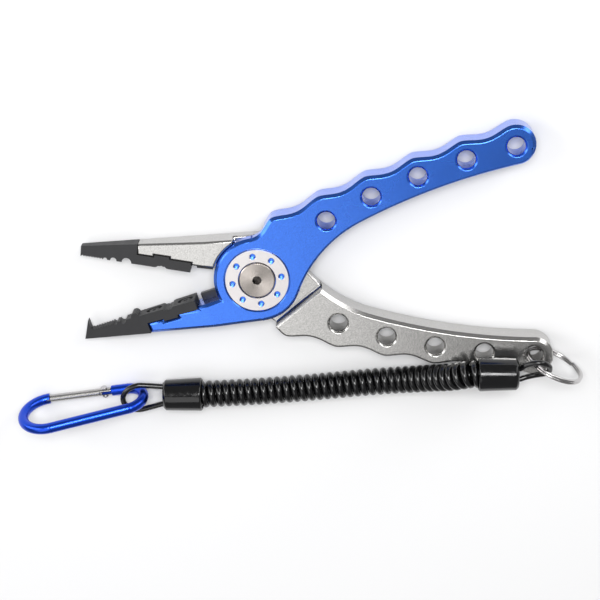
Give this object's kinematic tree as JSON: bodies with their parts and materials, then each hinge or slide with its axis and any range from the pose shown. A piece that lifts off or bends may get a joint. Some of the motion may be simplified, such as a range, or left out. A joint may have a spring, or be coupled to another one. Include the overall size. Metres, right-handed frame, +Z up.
{
  "type": "fishing pliers",
  "caption": "Aluminium pliers with hooked steel jaws, line cutters, spring pivot, drilled handles and a curly lanyard with split ring and carabiner.",
  "frame": {"origin": "on the pivot axis, on the flat rear face of the pivot nut, which is the table plane", "axes": "+X towards the handles along the line that halves the opening, +Y towards the blue handle, +Z up along the pivot axis"},
  "size_m": [0.2272, 0.1064, 0.0279],
  "materials": {
    "blue_anodised": "satin anodised",
    "bare_aluminium": "satin bead blasted",
    "turned_aluminium": "fine turned",
    "black_steel": "matte blackened",
    "cutter_steel": "ground and blackened",
    "stainless": "turned",
    "bronze": "plain",
    "white_plastic": "smooth",
    "spring_steel": "bright",
    "nickel": "polished",
    "black_plastic": "glossy",
    "black_cord": "satin",
    "brass": "plain",
    "clip_blue": "glossy anodised"
  },
  "bodies": {
    "silver_side": {"silver_lever": "bare_aluminium", "upper_jaw_insert": "black_steel", "upper_insert_screws": "black_steel", "upper_cutter": "cutter_steel", "upper_cutter_screw": "black_steel", "rear_pivot_cap": "turned_aluminium", "pivot_bolt": "stainless", "pivot_nut": "stainless", "pivot_bush": "bronze", "thrust_washer": "white_plastic", "return_spring": "spring_steel", "stop_pin": "spring_steel", "ring_loop": "black_cord", "right_boot": "black_plastic", "right_ferrule": "brass", "lanyard_coil": "black_cord", "left_boot": "black_plastic", "left_ferrule": "brass", "clip_loop": "black_cord", "carabiner_body": "clip_blue", "gate_rivet": "nickel"},
    "blue_side": {"blue_lever": "blue_anodised", "lower_jaw_insert": "black_steel", "lower_insert_screws": "black_steel", "lower_cutter": "cutter_steel", "lower_cutter_screw": "black_steel", "front_pivot_ring": "turned_aluminium"},
    "ring": {"split_ring": "nickel"},
    "gate": {"carabiner_gate": "bare_aluminium", "gate_spring": "spring_steel"}
  },
  "joints": [
    {"name": "pivot", "type": "hinge", "parent": "silver_side", "child": "blue_side", "pos_m": [0, 0, 0.0085], "axis": [0, 0, 1], "range_deg": [-25, 0], "stiffness_Nm_per_rad": 0.02, "springref_deg": 20.05, "deforming": ["return_spring"]},
    {"name": "ring_spin", "type": "hinge", "parent": "silver_side", "child": "ring", "pos_m": [0.1125, -0.04785, 0.01234], "axis": [0.5016, 0.8583, 0.108], "range_deg": [-60, 60]},
    {"name": "gate_hinge", "type": "hinge", "parent": "silver_side", "child": "gate", "pos_m": [-0.069, -0.04427, 0.0022], "axis": [-0.027, 0.9655, 0.2588], "range_deg": [0, 22], "stiffness_Nm_per_rad": 0.0004, "springref_deg": -17.19}
  ]
}
